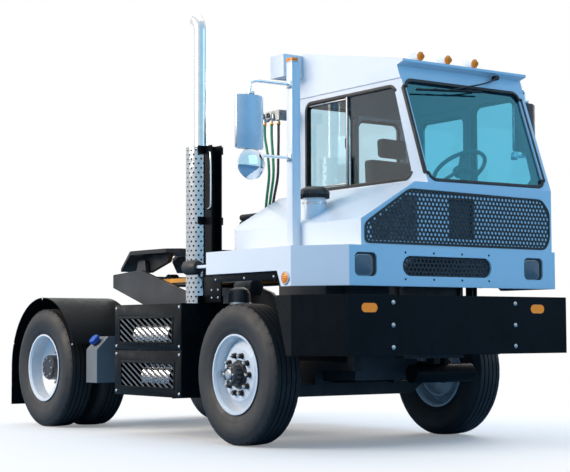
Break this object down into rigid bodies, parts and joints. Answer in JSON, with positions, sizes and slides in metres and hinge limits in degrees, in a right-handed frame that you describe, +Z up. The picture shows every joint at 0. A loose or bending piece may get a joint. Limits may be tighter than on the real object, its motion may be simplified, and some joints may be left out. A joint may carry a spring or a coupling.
{
  "type": "yard truck",
  "caption": "Terminal tractor with an offset single-seat cab, sloped engine cover, tall exhaust stack, twin rear tyres and a lifting boom with a fifth wheel for moving semi-trailers.",
  "frame": {"origin": "on the floor under the middle of the overall box", "axes": "+X forward to the bumper, +Y to the driver's left, +Z up"},
  "size_m": [4.772, 2.656, 3.4033],
  "materials": {
    "white_paint": "gloss",
    "black_paint": "satin",
    "chassis_black": "satin",
    "cast_black": "satin",
    "chrome": "polished",
    "tyre": "matt",
    "amber": "gloss",
    "clear_lens": "gloss",
    "glass": "clear",
    "grey_plastic": "matt",
    "seat_cloth": "woven",
    "deck_orange": "satin",
    "engine_grey": "satin",
    "hose": "satin",
    "cable": "satin",
    "mirror_shell": "gloss",
    "tank_grey": "matt",
    "rim_white": "gloss"
  },
  "bodies": {
    "chassis": {"frame_rails": "chassis_black", "crossmembers": "chassis_black", "front_bumper": "black_paint", "chassis_lamps": "amber", "front_axle": "cast_black", "rear_axle": "cast_black", "engine": "engine_grey", "radiator": "chassis_black", "exhaust_case": "black_paint", "exhaust_stack": "chrome", "stack_guard": "chrome", "stack_support": "black_paint", "def_tank": "tank_grey", "rear_fenders": "black_paint", "fuel_tank": "black_paint", "entry_steps": "black_paint", "rear_deck": "deck_orange", "air_tank": "black_paint"},
    "cab": {"cab_floor": "grey_plastic", "cab_front": "white_paint", "cab_right_wall": "white_paint", "cab_left_wall": "white_paint", "cab_rear_wall": "white_paint", "cab_roof": "white_paint", "engine_cover": "white_paint", "apron": "white_paint", "grilles": "black_paint", "headlamps": "clear_lens", "cab_lamps": "amber", "windows": "glass", "air_intake": "white_paint", "mirror_arms": "white_paint", "mirror_heads": "mirror_shell", "seat": "seat_cloth", "dashboard": "grey_plastic", "air_lines": "tank_grey", "supply_hose": "hose", "signal_hose": "hose", "lamp_cable": "cable"},
    "left_door": {"left_door": "white_paint", "left_door_glass": "glass"},
    "rear_door": {"rear_door": "white_paint", "rear_door_glass": "glass"},
    "boom": {"lift_boom": "black_paint"},
    "coupling_plate": {"fifth_wheel": "cast_black"},
    "lift_barrel_pair": {"lift_barrels": "black_paint"},
    "lift_rod_pair": {"lift_rods": "chrome"},
    "left_knuckle": {"knuckle_left": "cast_black"},
    "right_knuckle": {"knuckle_right": "cast_black"},
    "front_left_wheel": {"front_rim_left": "rim_white", "front_tyre_left": "tyre"},
    "front_right_wheel": {"front_rim_right": "rim_white", "front_tyre_right": "tyre"},
    "rear_left_wheels": {"rear_rims_left": "rim_white", "rear_tyres_left": "tyre"},
    "rear_right_wheels": {"rear_rims_right": "rim_white", "rear_tyres_right": "tyre"}
  },
  "joints": [
    {"name": "cab_tilt", "type": "hinge", "parent": "chassis", "child": "cab", "pos_m": [2.244, 0, 1.19], "axis": [0, 1, 0], "range_deg": [0, 40]},
    {"name": "left_door_swing", "type": "hinge", "parent": "cab", "child": "left_door", "pos_m": [1.422, 1.083, 1.95], "axis": [0, 0, -1], "range_deg": [0, 75]},
    {"name": "rear_door_slide", "type": "slide", "parent": "cab", "child": "rear_door", "axis": [0, -1, 0], "range_m": [0, 0.57]},
    {"name": "boom_lift", "type": "hinge", "parent": "chassis", "child": "boom", "pos_m": [-0.116, 0, 0.83], "axis": [0, 1, 0], "range_deg": [-12, 3]},
    {"name": "plate_tilt", "type": "hinge", "parent": "boom", "child": "coupling_plate", "pos_m": [-1.432, 0, 1.425], "axis": [0, -1, 0], "range_deg": [0, 10]},
    {"name": "lift_swing", "type": "hinge", "parent": "chassis", "child": "lift_barrel_pair", "pos_m": [-0.946, 0, 0.7], "axis": [0, 1, 0], "range_deg": [-17, 5]},
    {"name": "lift_stroke", "type": "slide", "parent": "lift_barrel_pair", "child": "lift_rod_pair", "axis": [-0.2798, 0, 0.9601], "range_m": [-0.172, 0.046]},
    {"name": "steer_left", "type": "hinge", "parent": "chassis", "child": "left_knuckle", "pos_m": [1.184, 0.83, 0.523], "axis": [0, 0, 1], "range_deg": [-35, 35]},
    {"name": "steer_right", "type": "hinge", "parent": "chassis", "child": "right_knuckle", "pos_m": [1.184, -0.83, 0.523], "axis": [0, 0, 1], "range_deg": [-35, 35]},
    {"name": "front_left_spin", "type": "hinge", "parent": "left_knuckle", "child": "front_left_wheel", "pos_m": [1.184, 0.98, 0.523], "axis": [0, 1, 0], "continuous": true},
    {"name": "front_right_spin", "type": "hinge", "parent": "right_knuckle", "child": "front_right_wheel", "pos_m": [1.184, -0.98, 0.523], "axis": [0, 1, 0], "continuous": true},
    {"name": "rear_left_spin", "type": "hinge", "parent": "chassis", "child": "rear_left_wheels", "pos_m": [-1.762, 0.888, 0.523], "axis": [0, 1, 0], "continuous": true},
    {"name": "rear_right_spin", "type": "hinge", "parent": "chassis", "child": "rear_right_wheels", "pos_m": [-1.762, -0.888, 0.523], "axis": [0, 1, 0], "continuous": true}
  ],
  "couplings": [
    {"joint": "lift_swing", "follows": "boom_lift", "ratio": 1.36},
    {"joint": "lift_stroke", "follows": "boom_lift", "m_per_rad": 0.8079},
    {"joint": "steer_right", "follows": "steer_left", "ratio": 1}
  ]
}
